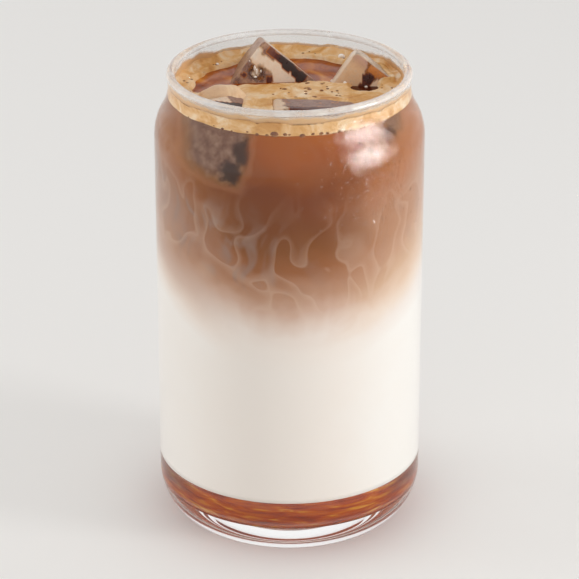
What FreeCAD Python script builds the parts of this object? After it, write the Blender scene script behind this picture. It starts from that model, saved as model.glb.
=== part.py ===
import FreeCAD, Part

import math
import os

from FreeCAD import Rotation, Vector

# An iced layered coffee in a can-shaped glass, standing on its foot.  Millimetres, +Z up, origin at the
# centre of the foot; +X is to the right and -Y is the front.

# ---- glass ----
HEIGHT = 134.0              # foot to rim
BODY_DIAMETER = 75.5        # straight part of the wall
WALL = 2.0                  # body, shoulder and neck
BASE_THICKNESS = 7.8        # under the drink
FOOT_INSET = 6.35           # how much the standing edge lies inside the body
FOOT_HEIGHT = 13.0          # where the foot's curve runs into the straight wall
FOOT_EDGE_RADIUS = 1.0      # standing edge
PUNT_INSET = 5.0            # width of the ring that the glass stands on
PUNT_DEPTH = 0.8            # hollow under the base
INNER_CORNER_RADIUS = 9.0   # between the wall and the inner floor
SHOULDER_INSET = 4.05       # how much narrower the neck is than the body
SHOULDER_HEIGHT = 15.0      # length of the shoulder's S-curve
NECK_HEIGHT = 4.0           # neck and rim above the shoulder
RIM_THICKNESS = 2.3         # rounded lip, a little thicker than the wall

# ---- drink ----
SYRUP_DEPTH = 9.7
MILK_DEPTH = 57.0           # above the syrup, on the axis
MILK_SIDE_RISE = 12.0       # how much higher the milk stands at the left and right walls
MILK_LEFT_LEAN = 2.0        # extra milk on the left, less on the right
MILK_BACK_RISE = 3.0        # extra milk at the back, less at the front
DRINK_BELOW_RIM = 6.8       # free coffee surface
CREMA_SUNK = 0.8            # foam below that surface
CREMA_PROUD = 1.4           # foam above that surface
CREMA_CLIMB = 1.9           # foam drawn up the wall
CREMA_CLIMB_WIDTH = 2.2

# ---- bare coffee in the foam ----
FOAM_RING_WIDTH = 4.0       # foam left along the wall, beside the large pool
POOL_FRONT = 2.2            # front edge of the large pool, behind the axis
POOL_TURN = -8.0            # degrees, the pool's front edge runs forward on the left
POOL_CORNER_RADIUS = 2.5
SMALL_POOL_RADIUS = 3.2
SMALL_POOL_INSET = 10.2     # its centre, from the inner wall of the neck
SMALL_POOL_AZIMUTH = -2.0   # degrees

# ---- ice ----
# width, depth and height of the cube; its centre by azimuth, distance from the inner wall of the neck, which
# it stands in, and height over the coffee surface; yaw, pitch and roll in degrees; how far its edges have melted
ICE = {
    "ice_back_left": dict(size=(21.0, 19.0, 21.0), azimuth=112.3, inset=15.3, lift=-5.1,
                          turn=(5.0, -15.0, 40.0), melt=1.2),
    "ice_right": dict(size=(14.0, 12.5, 19.0), azimuth=28.0, inset=10.85, lift=-3.2,
                      turn=(-2.0, -14.0, 36.0), melt=3.2),
    "ice_front_left": dict(size=(18.5, 16.0, 15.5), azimuth=-130.0, inset=8.85, lift=-6.1,
                           turn=(-34.0, -12.0, 20.0), melt=3.0),
    "ice_front": dict(size=(24.0, 12.0, 14.0), azimuth=-65.0, inset=14.85, lift=-5.0,
                      turn=(3.0, -4.0, 2.0), melt=2.5),
}

# ---- derived ----
BODY_RADIUS = BODY_DIAMETER / 2
BORE_RADIUS = BODY_RADIUS - WALL
NECK_RADIUS = BODY_RADIUS - SHOULDER_INSET
NECK_BORE_RADIUS = NECK_RADIUS - WALL
SHOULDER_TOP = HEIGHT - NECK_HEIGHT
SHOULDER_BOTTOM = SHOULDER_TOP - SHOULDER_HEIGHT
SYRUP_TOP = BASE_THICKNESS + SYRUP_DEPTH
MILK_TOP = SYRUP_TOP + MILK_DEPTH
DRINK_TOP = HEIGHT - DRINK_BELOW_RIM
CREMA_BOTTOM = DRINK_TOP - CREMA_SUNK
CREMA_TOP = DRINK_TOP + CREMA_PROUD
CREMA_EDGE = CREMA_TOP + CREMA_CLIMB


def line(start, end):
    return Part.makeLine(Vector(start[0], 0, start[1]), Vector(end[0], 0, end[1]))


def arc(centre, radius, start_deg, end_deg):
    """Arc in the X-Z half-plane, angles from +X towards +Z."""
    points = []
    for angle in (start_deg, (start_deg + end_deg) / 2, end_deg):
        turn = math.radians(angle)
        points.append(Vector(centre[0] + radius * math.cos(turn), 0, centre[1] + radius * math.sin(turn)))
    return Part.Arc(*points).toShape()


def revolved(edges):
    face = Part.Face(Part.Wire(edges))
    return face.revolve(Vector(0, 0, 0), Vector(0, 0, 1), 360)


def shoulder(offset):
    """The shoulder's S-curve from the body up to the neck, moved inwards by offset."""
    half_turn = math.atan2(SHOULDER_INSET, SHOULDER_HEIGHT)
    sweep = 2 * half_turn
    radius = SHOULDER_HEIGHT / (2 * math.sin(sweep))
    degrees = math.degrees(sweep)
    lower = arc((BODY_RADIUS - radius, SHOULDER_BOTTOM), radius - offset, 0, degrees)
    upper = arc((NECK_RADIUS + radius, SHOULDER_TOP), radius + offset, 180 + degrees, 180)
    return [lower, upper]


def foot():
    """Standing edge to straight wall: one arc tangent to the wall."""
    radius = (FOOT_INSET ** 2 + FOOT_HEIGHT ** 2) / (2 * FOOT_INSET)
    start = -math.degrees(math.asin(FOOT_HEIGHT / radius))
    return arc((BODY_RADIUS - radius, FOOT_HEIGHT), radius, start, 0)


def punt(edge_radius):
    """The shallow dome under the base, from the axis to the inner edge of the standing ring."""
    radius = (edge_radius ** 2 + PUNT_DEPTH ** 2) / (2 * PUNT_DEPTH)
    end = math.degrees(math.acos(edge_radius / radius))
    return arc((0, PUNT_DEPTH - radius), radius, 90, end)


def outer_blank():
    """The glass as if it were solid, up to the lip's tallest point."""
    stand = BODY_RADIUS - FOOT_INSET
    punt_edge = stand - PUNT_INSET
    lip = RIM_THICKNESS / 2
    lip_centre = (NECK_BORE_RADIUS + lip, HEIGHT - lip)
    edges = [punt(punt_edge), line((punt_edge, 0), (stand, 0)), foot()]
    edges.append(line((BODY_RADIUS, FOOT_HEIGHT), (BODY_RADIUS, SHOULDER_BOTTOM)))
    edges.extend(shoulder(0))
    edges.append(line((NECK_RADIUS, SHOULDER_TOP), (lip_centre[0] + lip, lip_centre[1])))
    edges.append(arc(lip_centre, lip, 0, 90))
    edges.append(line((lip_centre[0], HEIGHT), (0, HEIGHT)))
    edges.append(line((0, HEIGHT), (0, PUNT_DEPTH)))
    return revolved(edges)


def bore(flared):
    """The space inside the glass; flared rounds the lip's inner edge, and ends level with the lip's top."""
    floor_radius = BORE_RADIUS - INNER_CORNER_RADIUS
    corner = (floor_radius, BASE_THICKNESS + INNER_CORNER_RADIUS)
    lip = RIM_THICKNESS / 2
    edges = [line((0, BASE_THICKNESS), (floor_radius, BASE_THICKNESS))]
    edges.append(arc(corner, INNER_CORNER_RADIUS, -90, 0))
    edges.append(line((BORE_RADIUS, corner[1]), (BORE_RADIUS, SHOULDER_BOTTOM)))
    edges.extend(shoulder(WALL))
    top_radius = NECK_BORE_RADIUS
    if flared:
        edges.append(line((NECK_BORE_RADIUS, SHOULDER_TOP), (NECK_BORE_RADIUS, HEIGHT - lip)))
        edges.append(arc((NECK_BORE_RADIUS + lip, HEIGHT - lip), lip, 180, 90))
        top_radius = NECK_BORE_RADIUS + lip
    else:
        edges.append(line((NECK_BORE_RADIUS, SHOULDER_TOP), (NECK_BORE_RADIUS, HEIGHT)))
    edges.append(line((top_radius, HEIGHT), (0, HEIGHT)))
    edges.append(line((0, HEIGHT), (0, BASE_THICKNESS)))
    return revolved(edges)


def glass():
    blank = outer_blank()
    stand = BODY_RADIUS - FOOT_INSET
    edge = [e for e in blank.Edges if abs(e.BoundBox.ZMax) < 1e-6 and abs(e.BoundBox.XMax - stand) < 1e-6]
    return blank.makeFillet(FOOT_EDGE_RADIUS, edge).cut(bore(flared=True))


def slab(bottom, top):
    """Everything between two levels, wider than the glass."""
    return Part.makeCylinder(BODY_DIAMETER, top - bottom, Vector(0, 0, bottom))


def milk_level(x, y):
    across = x / BORE_RADIUS
    along = y / BORE_RADIUS
    bowl = MILK_SIDE_RISE * across ** 2
    return MILK_TOP + bowl - MILK_LEFT_LEAN * across + MILK_BACK_RISE * along


def below_milk_surface():
    """A block whose top is the bowl-shaped border between the milk and the coffee."""
    steps = 8
    reach = BORE_RADIUS + WALL
    places = [reach * (2 * i / steps - 1) for i in range(steps + 1)]
    grid = [[Vector(x, y, milk_level(x, y)) for y in places] for x in places]
    surface = Part.BSplineSurface()
    surface.interpolate(grid)
    return surface.toShape().extrude(Vector(0, 0, -HEIGHT))


def ice_cube(size, azimuth, inset, lift, turn, melt):
    width, depth, height = size
    cube = Part.makeBox(width, depth, height, Vector(-width / 2, -depth / 2, -height / 2))
    cube = cube.makeFillet(melt, cube.Edges)
    yaw, pitch, roll = turn
    rotation = Rotation(Vector(0, 0, 1), yaw).multiply(Rotation(Vector(1, 0, 0), pitch))
    rotation = rotation.multiply(Rotation(Vector(0, 1, 0), roll))
    reach = NECK_BORE_RADIUS - inset
    angle = math.radians(azimuth)
    centre = Vector(reach * math.cos(angle), reach * math.sin(angle), DRINK_TOP + lift)
    cube.Placement = FreeCAD.Placement(centre, rotation)
    return cube


def ice_pieces():
    """The cubes, each melted back where it would run into an earlier one."""
    pieces = {}
    for name, values in ICE.items():
        cube = ice_cube(**values)
        for other in pieces.values():
            cube = cube.cut(other)
        pieces[name] = cube
    return pieces


def large_pool():
    """Bare coffee behind the front patch of foam, inside the ring of foam along the wall."""
    radius = NECK_BORE_RADIUS - FOAM_RING_WIDTH
    disc = Part.makeCylinder(radius, HEIGHT)
    front = Part.makeBox(4 * radius, 4 * radius, HEIGHT, Vector(-2 * radius, POOL_FRONT - 4 * radius, 0))
    front.rotate(Vector(0, 0, 0), Vector(0, 0, 1), -POOL_TURN)
    pool = disc.cut(front)
    corners = [e for e in pool.Edges if e.BoundBox.ZLength > HEIGHT / 2 and e.BoundBox.XLength < 1e-6]
    corners = [e for e in corners if len(pool.ancestorsOfType(e, Part.Face)) == 2]
    return pool.makeFillet(POOL_CORNER_RADIUS, corners)


def small_pool():
    reach = NECK_BORE_RADIUS - SMALL_POOL_INSET
    angle = math.radians(SMALL_POOL_AZIMUTH)
    return Part.makeCylinder(SMALL_POOL_RADIUS, HEIGHT, Vector(reach * math.cos(angle), reach * math.sin(angle), 0))


def crema_blank(space):
    """The foam as if it covered the whole surface, drawn up the wall at its edge."""
    layer = space.common(slab(CREMA_BOTTOM, CREMA_EDGE))
    inner = NECK_BORE_RADIUS - CREMA_CLIMB_WIDTH
    above = [line((0, CREMA_TOP), (inner, CREMA_TOP))]
    middle = Vector(inner + 0.75 * CREMA_CLIMB_WIDTH, 0, CREMA_TOP + 0.3 * CREMA_CLIMB)
    ends = (Vector(inner, 0, CREMA_TOP), Vector(NECK_BORE_RADIUS, 0, CREMA_EDGE))
    above.append(Part.Arc(ends[0], middle, ends[1]).toShape())
    above.append(line((NECK_BORE_RADIUS, CREMA_EDGE), (BODY_RADIUS, CREMA_EDGE)))
    above.append(line((BODY_RADIUS, CREMA_EDGE), (BODY_RADIUS, HEIGHT)))
    above.append(line((BODY_RADIUS, HEIGHT), (0, HEIGHT)))
    above.append(line((0, HEIGHT), (0, CREMA_TOP)))
    return layer.cut(revolved(above))


def drink(ice):
    """The four layers, each filling the glass from the one below it and cut round the ice."""
    space = bore(flared=False)
    milk_block = below_milk_surface()
    pools = large_pool().fuse(small_pool())
    foam = crema_blank(space).cut(pools)
    layers = {"syrup": space.common(slab(BASE_THICKNESS, SYRUP_TOP))}
    layers["milk"] = space.common(slab(SYRUP_TOP, HEIGHT)).common(milk_block)
    layers["coffee"] = space.common(slab(SYRUP_TOP, DRINK_TOP)).cut(milk_block).cut(foam)
    layers["crema"] = foam
    for cube in ice.values():
        layers["coffee"] = layers["coffee"].cut(cube)
        layers["crema"] = layers["crema"].cut(cube)
    return layers


def main():
    ice = ice_pieces()
    nodes = {"glass": glass()}
    nodes.update(drink(ice))
    nodes.update(ice)
    os.makedirs("parts", exist_ok=True)
    for name, shape in nodes.items():
        solids = shape.Solids
        print(name, "solids", len(solids), "valid", shape.isValid(), "cm3", round(shape.Volume / 1000, 2))
        solid = solids[0] if len(solids) == 1 else shape
        solid.exportStep(os.path.join("parts", name + ".step"))


main()
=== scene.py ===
# %% [markdown]
# # An iced, layered coffee in a can-shaped glass
# A cold coffee is poured in this order: amber syrup, cold milk, ice, then hot coffee slowly over the ice.
# The coffee floats on the milk and sinks into it in soft brown clouds, and its golden foam, the crema,
# stays on top round the ice. The glass is a straight can shape with a rounded foot, a drawn-in neck and a
# beaded lip.
#
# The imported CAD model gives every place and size. Each of its nodes is replaced here by a finer piece of
# the same shape, because smooth glass and liquid need a smooth mesh.

import math
import random

import bpy
from mathutils import Matrix, Vector, noise


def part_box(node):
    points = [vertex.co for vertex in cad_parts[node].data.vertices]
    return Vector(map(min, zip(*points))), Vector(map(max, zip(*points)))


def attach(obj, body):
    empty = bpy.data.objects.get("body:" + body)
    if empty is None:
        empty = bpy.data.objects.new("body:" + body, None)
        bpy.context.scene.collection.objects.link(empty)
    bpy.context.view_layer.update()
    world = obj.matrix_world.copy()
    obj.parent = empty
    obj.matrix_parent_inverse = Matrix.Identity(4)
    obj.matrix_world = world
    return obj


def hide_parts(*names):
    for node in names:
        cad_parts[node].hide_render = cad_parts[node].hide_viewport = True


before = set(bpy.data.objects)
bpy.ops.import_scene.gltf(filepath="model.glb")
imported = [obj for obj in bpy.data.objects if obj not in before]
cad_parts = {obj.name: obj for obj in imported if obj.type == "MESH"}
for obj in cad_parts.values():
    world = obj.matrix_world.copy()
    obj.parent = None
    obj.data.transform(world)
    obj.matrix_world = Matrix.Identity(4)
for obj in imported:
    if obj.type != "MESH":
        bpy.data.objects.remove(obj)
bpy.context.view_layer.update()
print("nodes", sorted(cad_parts))

# %% [markdown]
# ## Units, and the levels that the frame gives
# Blender works in metres, while a drinking glass is drawn in millimetres, so MM turns one into the other.
# The levels of the four layers are read from the boxes of the CAD nodes. HAIR is a difference that counts
# as none, and OVERLAP is how far two layers reach into each other.

# %% Sizes from the frame
MM = 0.001
HAIR = 0.01 * MM
OVERLAP = 0.05 * MM

GLASS_LOW, GLASS_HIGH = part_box("glass")
HEIGHT = GLASS_HIGH[2]
BODY_RADIUS = (GLASS_HIGH[0] - GLASS_LOW[0]) / 2
FLOOR_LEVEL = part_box("syrup")[0][2]
SYRUP_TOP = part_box("syrup")[1][2]
BORE_RADIUS = (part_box("syrup")[1][0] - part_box("syrup")[0][0]) / 2
WALL = BODY_RADIUS - BORE_RADIUS
DRINK_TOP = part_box("coffee")[1][2]
CREMA_BOTTOM, CREMA_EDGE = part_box("crema")[0][2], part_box("crema")[1][2]
print("wall", round(WALL / MM, 2), "mm")
print("levels", [round(level / MM, 1) for level in (FLOOR_LEVEL, SYRUP_TOP, DRINK_TOP)], "mm")

# %% [markdown]
# A box says how wide and how high the glass is, but not how round its foot is or where the neck begins.
# These values do, each an inset from the straight wall or a rise above the table.

# %% Shape values of the glass that a box can't give
FOOT_INSET = 6.35 * MM
FOOT_HEIGHT = 13.0 * MM
PUNT_INSET = 5.0 * MM
PUNT_DEPTH = 0.8 * MM
INNER_CORNER = 9.0 * MM
SHOULDER_INSET = 4.05 * MM
SHOULDER_RISE = 15.0 * MM
NECK_RISE = 4.0 * MM
LIP = 2.3 * MM
LIP_RADIUS = LIP / 2

NECK_RADIUS = BODY_RADIUS - SHOULDER_INSET
NECK_BORE = NECK_RADIUS - WALL
SHOULDER_TOP = HEIGHT - NECK_RISE
SHOULDER_BOTTOM = SHOULDER_TOP - SHOULDER_RISE
LIP_MIDDLE = (NECK_BORE + LIP_RADIUS, HEIGHT - LIP_RADIUS)
print("neck", round(NECK_RADIUS / MM, 2), "mm; shoulder from", round(SHOULDER_BOTTOM / MM, 1), "mm")

# %% [markdown]
# ## The camera first
# The view is a long-lens product shot: the camera stands about 0.83 m away and looks down by 24 degrees at
# the middle of the glass, so the rim shows as a slim ellipse and the sides stay almost parallel.

# %% Camera
CAMERA_DISTANCE = 833.4 * MM
CAMERA_PITCH = math.radians(24.33)
CAMERA_LENS = 181.5
SENSOR_WIDTH = 36.0

aim = Vector((0, 0, HEIGHT / 2))
out = Vector((0, -math.cos(CAMERA_PITCH), math.sin(CAMERA_PITCH)))
bpy.ops.object.select_all(action="DESELECT")
bpy.ops.object.camera_add(location=aim + out * CAMERA_DISTANCE, rotation=(math.pi / 2 - CAMERA_PITCH, 0, 0))
camera = bpy.context.object
camera.name = "camera"
camera.data.lens = CAMERA_LENS
camera.data.sensor_width = SENSOR_WIDTH
bpy.context.scene.camera = camera
print("camera at", [round(v, 3) for v in camera.location])

# %% [markdown]
# ## Turning on a lathe
# Everything round is made as a glass maker's drawing is: one outline from the axis to the axis, spun about
# the upright axis. The outline is drawn by extruding a single vertex from point to point, and the spin
# operator sweeps it. Arcs are sampled from their centre and radius, so a curve has as many points as it
# needs.

# %% Lathe helpers
SPIN_STEPS = 192
SHOULDER_STEPS = 14
WELD = 0.002 * MM


def start_fresh():
    """Nothing stays selected, so that the next operator works on what it adds."""
    bpy.ops.object.select_all(action="DESELECT")


def arc_points(centre, radius, start_deg, end_deg, count):
    """Points (radius, height) on an arc, angles from outwards towards up."""
    points = []
    for i in range(count + 1):
        turn = math.radians(start_deg + (end_deg - start_deg) * i / count)
        points.append((centre[0] + radius * math.cos(turn), centre[1] + radius * math.sin(turn)))
    return points


def straight_points(start, end, spacing):
    """Evenly spaced points from start up to, but not with, end."""
    length = math.dist(start, end)
    count = max(1, round(length / spacing))
    return [tuple(a + (b - a) * i / count for a, b in zip(start, end)) for i in range(count)]


def lathe(name, outline, steps=SPIN_STEPS):
    """Spins an outline of (radius, height) points into a closed, smooth piece."""
    start_fresh()
    bpy.ops.mesh.primitive_plane_add(size=MM)
    piece = bpy.context.object
    piece.name = name
    bpy.ops.object.mode_set(mode="EDIT")
    bpy.ops.mesh.select_mode(type="VERT")
    bpy.ops.mesh.select_all(action="SELECT")
    bpy.ops.mesh.merge(type="CENTER")
    bpy.ops.transform.translate(value=(outline[0][0], 0, outline[0][1]))
    for here, there in zip(outline, outline[1:]):
        step = (there[0] - here[0], 0, there[1] - here[1])
        bpy.ops.mesh.extrude_vertices_move(TRANSFORM_OT_translate={"value": step})
    bpy.ops.mesh.select_all(action="SELECT")
    bpy.ops.mesh.spin(steps=steps, angle=2 * math.pi, center=(0, 0, 0), axis=(0, 0, 1))
    bpy.ops.mesh.select_all(action="SELECT")
    bpy.ops.mesh.remove_doubles(threshold=WELD)
    bpy.ops.mesh.normals_make_consistent(inside=False)
    bpy.ops.object.mode_set(mode="OBJECT")
    bpy.ops.object.shade_smooth()
    print(name, len(piece.data.polygons), "faces")
    return piece


def shoulder_points(offset):
    """The S-curve from the body up to the neck, moved inwards by offset."""
    half_turn = math.atan2(SHOULDER_INSET, SHOULDER_RISE)
    radius = SHOULDER_RISE / (2 * math.sin(2 * half_turn))
    sweep = math.degrees(2 * half_turn)
    lower = arc_points((BODY_RADIUS - radius, SHOULDER_BOTTOM), radius - offset, 0, sweep, SHOULDER_STEPS)
    upper = arc_points((NECK_RADIUS + radius, SHOULDER_TOP), radius + offset, 180 + sweep, 180,
                       SHOULDER_STEPS)
    return lower + upper[1:]

# %% [markdown]
# ## The glass
# A pressed and fire-polished soda-lime tumbler: the foot has a soft round edge and stands on a narrow ring
# round a shallow hollow, and the lip is melted to a bead slightly thicker than the wall. The whole
# outline, outside and inside, is one closed curve, so the glass has its true wall and bends light as a
# real one does. Two fine steps under the base are where the mould's bottom plate met its body, and faint
# rings of waves inside them are left by its turning.

# %% Glass outline
FOOT_EDGE = 1.0 * MM
MOULD_RING_DEPTH = 0.25 * MM
MOULD_WAVE = 2.4 * MM
MOULD_WAVE_DEPTH = 0.16 * MM
MOULD_RING_WIDTH = 1.1 * MM


def smooth_step(low, high, value):
    """0 below low, 1 above high, and a soft rise between."""
    share = min(1.0, max(0.0, (value - low) / (high - low)))
    return share * share * (3 - 2 * share)


def foot_points():
    """The foot's curve, from the table up to the straight wall."""
    radius = (FOOT_INSET ** 2 + FOOT_HEIGHT ** 2) / (2 * FOOT_INSET)
    start = -math.degrees(math.asin(FOOT_HEIGHT / radius))
    return arc_points((BODY_RADIUS - radius, FOOT_HEIGHT), radius, start, 0, 24)


def under_points():
    """The underside from the axis to the standing edge: the hollow, then two mould rings."""
    stand = BODY_RADIUS - FOOT_INSET
    edge = stand - PUNT_INSET
    radius = (edge ** 2 + PUNT_DEPTH ** 2) / (2 * PUNT_DEPTH)
    end = math.degrees(math.acos(edge / radius))
    points = []
    for across, level in arc_points((0, PUNT_DEPTH - radius), radius, 90, end, 120):
        waves = smooth_step(0.5 * edge, 0.6 * edge, across) * smooth_step(-edge, -0.97 * edge, -across)
        swell = 0.5 + 0.5 * math.sin(2 * math.pi * across / MOULD_WAVE)
        points.append((across, level + MOULD_WAVE_DEPTH * waves * swell))
    for ring in range(2):
        start = edge + (1 + 2 * ring) * MOULD_RING_WIDTH * 0.7
        points.append((start, 0))
        points.append((start + MOULD_RING_WIDTH * 0.25, MOULD_RING_DEPTH))
        points.append((start + MOULD_RING_WIDTH * 0.5, 0))
    points.append((stand - FOOT_EDGE, 0))
    return points


def bore_points(grow, floor, top):
    """The inside from the axis at the floor out and up to top, moved into the wall by grow."""
    corner = (BORE_RADIUS - INNER_CORNER, FLOOR_LEVEL + INNER_CORNER)
    points = []
    if floor <= FLOOR_LEVEL:
        points += straight_points((0, FLOOR_LEVEL - grow), (corner[0], FLOOR_LEVEL - grow), 3 * MM)
        points += arc_points(corner, INNER_CORNER + grow, -90, 0, 16)
    wall_start = max(floor, corner[1])
    wall = BORE_RADIUS + grow
    points += straight_points((wall, wall_start), (wall, SHOULDER_BOTTOM), 1.5 * MM)
    points += shoulder_points(WALL - grow)
    points.append((NECK_BORE + grow, HEIGHT))
    return [point for point in points if point[1] <= top]


def bore_radius(level):
    """Inside radius of the glass at a level above its rounded floor corner."""
    inside = bore_points(0, FLOOR_LEVEL, HEIGHT)
    wall = [point for point in inside if point[1] >= FLOOR_LEVEL + INNER_CORNER]
    for (near, low), (far, high) in zip(wall, wall[1:]):
        if low <= level <= high:
            return near + (far - near) * (level - low) / (high - low)
    return BORE_RADIUS


def glass_outline():
    """The closed outline: under, up the outside, over the lip and down the inside."""
    foot = [point for point in foot_points() if point[1] > 0.5 * FOOT_EDGE]
    points = under_points() + foot
    points += straight_points((BODY_RADIUS, FOOT_HEIGHT), (BODY_RADIUS, SHOULDER_BOTTOM), 6 * MM)[1:]
    points += shoulder_points(0)
    points += arc_points(LIP_MIDDLE, LIP_RADIUS, -15, 180, 20)
    inside = bore_points(0, FLOOR_LEVEL, SHOULDER_TOP + 0.001 * MM)
    return points + inside[::-1]


glass = lathe("glass_body", glass_outline())
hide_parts("glass")
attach(glass, "root")

# %% [markdown]
# ## Node helpers and colour
# Screen colours are written as sRGB hex, and one function turns them to the linear values that shaders
# use. One more adds a node with its settings and links, so that a material reads from top to bottom.
# Places are given in millimetres, so a noise with Scale=1 / 6.5 has clouds of 6.5 mm. A material is named
# after the function that builds its nodes.

# %% Material helpers
RGBA = {"data_type": "RGBA"}
SMOOTH = {"interpolation_type": "SMOOTHSTEP"}


def linear(hex_colour, alpha=1.0):
    """sRGB hex to linear RGBA."""
    parts = [int(hex_colour[i:i + 2], 16) / 255 for i in (1, 3, 5)]
    return tuple(c / 12.92 if c <= 0.04045 else ((c + 0.055) / 1.055) ** 2.4 for c in parts) + (alpha,)


def add_node(tree, kind, *first, **named):
    """Adds a node. Values without a name go to its working inputs in turn. A named value is a setting of
    the node, or the input of that name with _ for a space. A node as a value links its first output."""
    node = tree.nodes.new("ShaderNode" + kind)
    for key in [key for key in named if hasattr(node, key)]:
        setattr(node, key, named.pop(key))
    working = [socket for socket in node.inputs if socket.enabled]
    pairs = list(zip(working, first))
    pairs += [(node.inputs[key.replace("_", " ")], value) for key, value in named.items()]
    for socket, value in pairs:
        if isinstance(value, bpy.types.Node):
            value = next(output for output in value.outputs if output.enabled)
        if isinstance(value, bpy.types.NodeSocket):
            tree.links.new(value, socket)
        else:
            socket.default_value = value
    return node


def place_in_mm(tree):
    """Object coordinates in millimetres."""
    place = add_node(tree, "TexCoord")
    return add_node(tree, "VectorMath", place.outputs["Object"], Scale=1 / MM, operation="SCALE")


def make_material(surface):
    """A material with the name of the function surface, which builds its nodes and returns the last one."""
    material = bpy.data.materials.new(surface.__name__)
    material.use_nodes = True
    tree = material.node_tree
    tree.nodes.clear()
    add_node(tree, "OutputMaterial", surface(tree, place_in_mm(tree)))
    print(material.name, len(tree.nodes), "nodes")
    return material


def give(piece, material):
    """The piece's only material."""
    piece.data.materials.clear()
    piece.data.materials.append(material)

# %% [markdown]
# ## Soda-lime glass
# Pressed glass is clear and nearly colourless, with an IOR of 1.52 and a polished skin. Lamps have to
# reach the drink through it: for shadow and diffuse rays the glass is plain transparent, while the eye
# still sees it bend and mirror the room. The cold shoulder at the right front is fogged with fine
# condensation. Its grains are drawn 0.45 mm wide as a bump, coarser than real ones, so that they show.

# %% Glass material
def lamps_pass(tree, shader):
    """Returns shader with a short cut: shadow and diffuse rays go straight through."""
    path = add_node(tree, "LightPath")
    either = add_node(tree, "Math", path.outputs["Is Shadow Ray"], path.outputs["Is Diffuse Ray"],
                      operation="MAXIMUM")
    clear = add_node(tree, "BsdfTransparent")
    return add_node(tree, "MixShader", either, shader, clear)


FOG_MIDDLE = (21.0, -30.0, 74.0)
FOG_FLATTEN = (1.0, 1.0, 0.62)
FOG_GRAIN = 0.45


def soda_lime_glass(tree, here):
    """Clear glass; the cold shoulder at the right front carries a patch of fine condensation."""
    squeezed = add_node(tree, "VectorMath", here, FOG_FLATTEN, operation="MULTIPLY")
    away = add_node(tree, "VectorMath", squeezed, FOG_MIDDLE, operation="DISTANCE")
    fog = add_node(tree, "MapRange", away, From_Min=25.0, From_Max=9.0, **SMOOTH)
    grain = add_node(tree, "TexNoise", here, Scale=1 / FOG_GRAIN, Detail=1.0)
    relief = add_node(tree, "Math", grain, fog, operation="MULTIPLY")
    bump = add_node(tree, "Bump", Strength=1.0, Distance=0.15 * MM, Height=relief)
    shader = add_node(tree, "BsdfPrincipled", Base_Color=linear("#FBFCFC"), Roughness=0.0, IOR=1.52,
                      Transmission_Weight=1.0, Normal=bump)
    return lamps_pass(tree, shader)


give(glass, make_material(soda_lime_glass))

# %% [markdown]
# ## The drink's layers
# Each layer fills the glass and reaches a little into its wall, so that no film of air shows between them.
# Milk and coffee meet in a soft bowl-shaped border, higher at the sides than in the middle.

# %% Fillings
INTO_WALL = 0.3 * MM
MILK_TOP = SYRUP_TOP + 57.0 * MM
MILK_SIDE_RISE = 12.0 * MM
MILK_LEFT_LEAN = 2.0 * MM
MILK_BACK_RISE = 3.0 * MM


def milk_level(x, y):
    """Height of the border between milk and coffee."""
    across, along = x / BORE_RADIUS, y / BORE_RADIUS
    return MILK_TOP + MILK_SIDE_RISE * across ** 2 - MILK_LEFT_LEAN * across + MILK_BACK_RISE * along


def layer_outline(bottom, top):
    """A layer between two levels: flat floor, wall, flat top."""
    wall = [point for point in bore_points(INTO_WALL, bottom, top) if point[1] < top - HAIR]
    if bottom > FLOOR_LEVEL:
        wall = [(0, bottom)] + [(BORE_RADIUS * k / 12, bottom) for k in range(1, 12)] + wall
    edge = (wall[-1][0], top)
    return wall + [edge] + [(edge[0] * (1 - k / 24), top) for k in range(1, 25)]


syrup = lathe("syrup_fill", layer_outline(0, SYRUP_TOP))
milk = lathe("milk_fill", layer_outline(SYRUP_TOP - OVERLAP, MILK_TOP))
coffee = lathe("coffee_fill", layer_outline(MILK_TOP, DRINK_TOP))


def bend_border(piece, level, reach):
    """Bends the flat border at level into the bowl shape; the change fades out over reach."""
    for vertex in piece.data.vertices:
        away = abs(vertex.co.z - level)
        if away < reach:
            lift = milk_level(vertex.co.x, vertex.co.y) - MILK_TOP
            vertex.co.z += lift * (1 - away / reach)


bend_border(milk, MILK_TOP, MILK_TOP - SYRUP_TOP)
bend_border(coffee, MILK_TOP, DRINK_TOP - MILK_TOP)

for piece, node in ((syrup, "syrup"), (milk, "milk"), (coffee, "coffee")):
    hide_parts(node)
    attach(piece, "root")

# %% [markdown]
# ## Colour of the mix
# Hot coffee poured over ice spreads through cold milk in clouds. There is no hard border: height above the
# border decides the colour, from warm white through beige to red-brown. Each side, left and right, has its
# own paler, greyer scale of colours: a painted reflection of the pale room in the thick edges of the glass.
# Noise in millimetres bends the scale into clouds and draws the thin white threads that a slow pour leaves.
# Milk and coffee share this one recipe, so their meeting surface can't be seen.

# %% Ramp helper and the three scales
MIX_LOW, MIX_HIGH = -16.0, 56.0
MIDDLE_SCALE = ((-14, "#F2E9E0"), (-7, "#F1E6DC"), (-3, "#EDDFD4"), (1, "#E0C8B8"), (4, "#CFAB96"),
                (8, "#B88A6D"), (12, "#A87453"), (17, "#965A2F"), (23, "#80460F"), (30, "#763A00"),
                (38, "#763500"), (44, "#8A4300"), (49, "#9C4B00"), (54, "#A55300"))
# The right and left scales are paler and greyer: painted reflection of the pale room in the glass's edges.
RIGHT_SCALE = ((-14, "#F3EFE9"), (-8, "#EDE2D9"), (-4, "#E8D4C2"), (0, "#DFC0A6"), (5, "#D0AA8A"),
               (12, "#C19374"), (19, "#B48260"), (27, "#B07B58"), (33, "#AE6E44"), (39, "#AD6628"),
               (46, "#AB6838"))
LEFT_SCALE = ((-15, "#F3EDE6"), (-11, "#EEE1D6"), (-7, "#DFC9B9"), (-3, "#CBAC99"), (2, "#BB957F"),
              (8, "#AD8165"), (15, "#A37B65"), (22, "#9D6F52"), (28, "#9B6038"), (35, "#985810"),
              (44, "#8D4E10"))


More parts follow.
